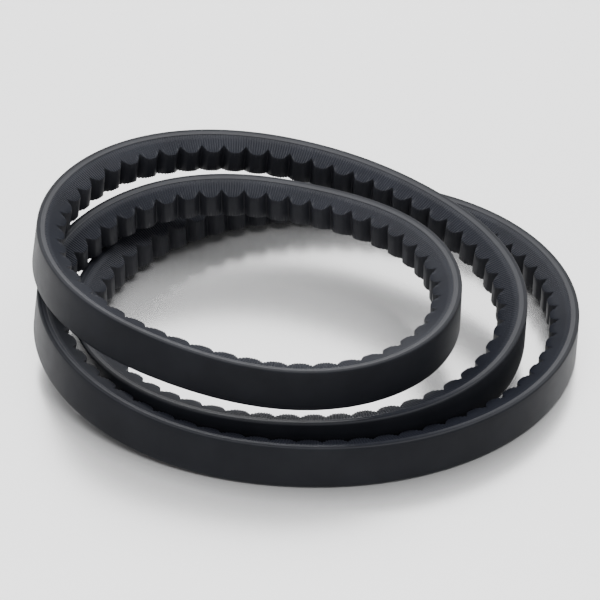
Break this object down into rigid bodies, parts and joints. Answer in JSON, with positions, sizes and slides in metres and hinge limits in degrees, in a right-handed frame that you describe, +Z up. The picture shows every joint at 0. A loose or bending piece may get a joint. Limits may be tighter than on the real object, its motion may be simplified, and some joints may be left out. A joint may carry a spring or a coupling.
{
  "type": "cogged v belt",
  "caption": "Endless raw-edge cogged V-belt, put down as a loose coil of three turns with its cogs facing the middle.",
  "frame": {"origin": "on the surface that the coil rests on, under the middle of its outline", "axes": "+Z up across the belt's width, +X along the coil's longer side, -Y towards the front"},
  "size_m": [0.2074, 0.1744, 0.0495],
  "materials": {
    "cover_rubber": "smooth satin charcoal rubber",
    "layer_rubber": "cut charcoal rubber",
    "cog_rubber": "ground flanks with fine cross ribs, smooth moulded cogs",
    "cord": "treated polyester cord"
  },
  "bodies": {
    "root": {"back_cover": "cover_rubber", "overcord_rubber": "layer_rubber", "tensile_cord_1": "cord", "tensile_cord_2": "cord", "tensile_cord_3": "cord", "tensile_cord_4": "cord", "tensile_cord_5": "cord", "tensile_cord_6": "cord", "tensile_cord_7": "cord", "tensile_cord_8": "cord", "cushion_rubber": "layer_rubber", "compression_rubber": "cog_rubber"}
  },
  "joints": []
}
